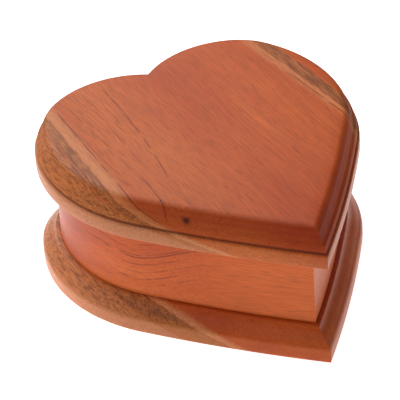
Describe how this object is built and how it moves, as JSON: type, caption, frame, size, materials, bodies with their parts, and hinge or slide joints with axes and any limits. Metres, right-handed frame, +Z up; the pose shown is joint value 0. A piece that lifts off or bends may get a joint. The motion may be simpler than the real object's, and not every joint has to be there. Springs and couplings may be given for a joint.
{
  "type": "wind-up music box",
  "caption": "Heart-shaped wooden wind-up music box with a hinged moulded lid, a lined compartment and a pinned-cylinder movement wound by a key under its base.",
  "frame": {"origin": "on the table under the middle of the box", "axes": "+Z up, -Y towards the heart's tip (the front), +Y towards its two lobes (the hinge side)"},
  "size_m": [0.1496, 0.1716, 0.0712],
  "materials": {
    "wood": "satin lacquer",
    "felt": "napped felt",
    "acrylic": "clear, polished",
    "brass": "polished",
    "steel": "ground",
    "spring_steel": "blued",
    "cast_metal": "as cast",
    "plated_steel": "plated",
    "white_plastic": "moulded"
  },
  "bodies": {
    "root": {"base_board": "wood", "body_ring": "wood", "divider": "wood", "cover_cleat_front": "wood", "cover_cleat_left": "wood", "cover_cleat_right": "wood", "compartment_lining": "felt", "movement_cover": "acrylic", "stop_guide": "brass", "bedplate": "cast_metal", "spring_housing": "plated_steel", "mainspring": "spring_steel", "cylinder_arbor": "steel", "comb": "steel", "comb_screw_1": "brass", "comb_screw_2": "brass", "governor_bracket": "brass", "movement_screw_1": "steel", "movement_screw_2": "steel", "movement_screw_3": "steel", "hinge_body_leaf_left": "brass", "hinge_pin_left": "steel", "hinge_body_leaf_right": "brass", "hinge_pin_right": "steel", "hinge_screw_1": "brass", "hinge_screw_2": "brass", "hinge_screw_5": "brass", "hinge_screw_6": "brass"},
    "lid": {"lid": "wood", "hinge_lid_leaf_left": "brass", "hinge_lid_leaf_right": "brass", "hinge_screw_3": "brass", "hinge_screw_4": "brass", "hinge_screw_7": "brass", "hinge_screw_8": "brass"},
    "cylinder": {"cylinder": "brass"},
    "great_wheel": {"great_wheel": "brass"},
    "governor_wheel": {"governor_wheel": "white_plastic"},
    "governor_fan": {"governor_fan": "steel"},
    "winding_key": {"winding_arbor": "steel", "winding_key": "brass"},
    "stop_rod": {"stop_rod": "steel"}
  },
  "joints": [
    {"name": "lid_hinge", "type": "hinge", "parent": "root", "child": "lid", "pos_m": [0, 0.0792, 0.05165], "axis": [-1, 0, 0], "range_deg": [0, 95]},
    {"name": "cylinder_spin", "type": "hinge", "parent": "root", "child": "cylinder", "pos_m": [0.0125, 0.03, 0.0259], "axis": [1, 0, 0], "continuous": true},
    {"name": "great_wheel_spin", "type": "hinge", "parent": "root", "child": "great_wheel", "pos_m": [0, 0.03, 0.01965], "axis": [0, 0, 1], "continuous": true},
    {"name": "governor_wheel_spin", "type": "hinge", "parent": "root", "child": "governor_wheel", "pos_m": [0.0341, 0.02235, 0.0259], "axis": [1, 0, 0], "continuous": true},
    {"name": "governor_fan_spin", "type": "hinge", "parent": "root", "child": "governor_fan", "pos_m": [0.0341, 0.01817, 0.0259], "axis": [0, 0, 1], "continuous": true},
    {"name": "winding", "type": "hinge", "parent": "great_wheel", "child": "winding_key", "pos_m": [0, 0.03, 0.009], "axis": [0, 0, 1], "range_deg": [0, 1710]},
    {"name": "stop_rod_slide", "type": "slide", "parent": "root", "child": "stop_rod", "axis": [0, 0, 1], "range_m": [0, 0.003]}
  ],
  "couplings": [
    {"joint": "great_wheel_spin", "follows": "cylinder_spin", "ratio": 0.5},
    {"joint": "governor_wheel_spin", "follows": "cylinder_spin", "ratio": -4},
    {"joint": "governor_fan_spin", "follows": "cylinder_spin", "ratio": -80},
    {"joint": "stop_rod_slide", "follows": "lid_hinge", "m_per_rad": 0.0018}
  ]
}
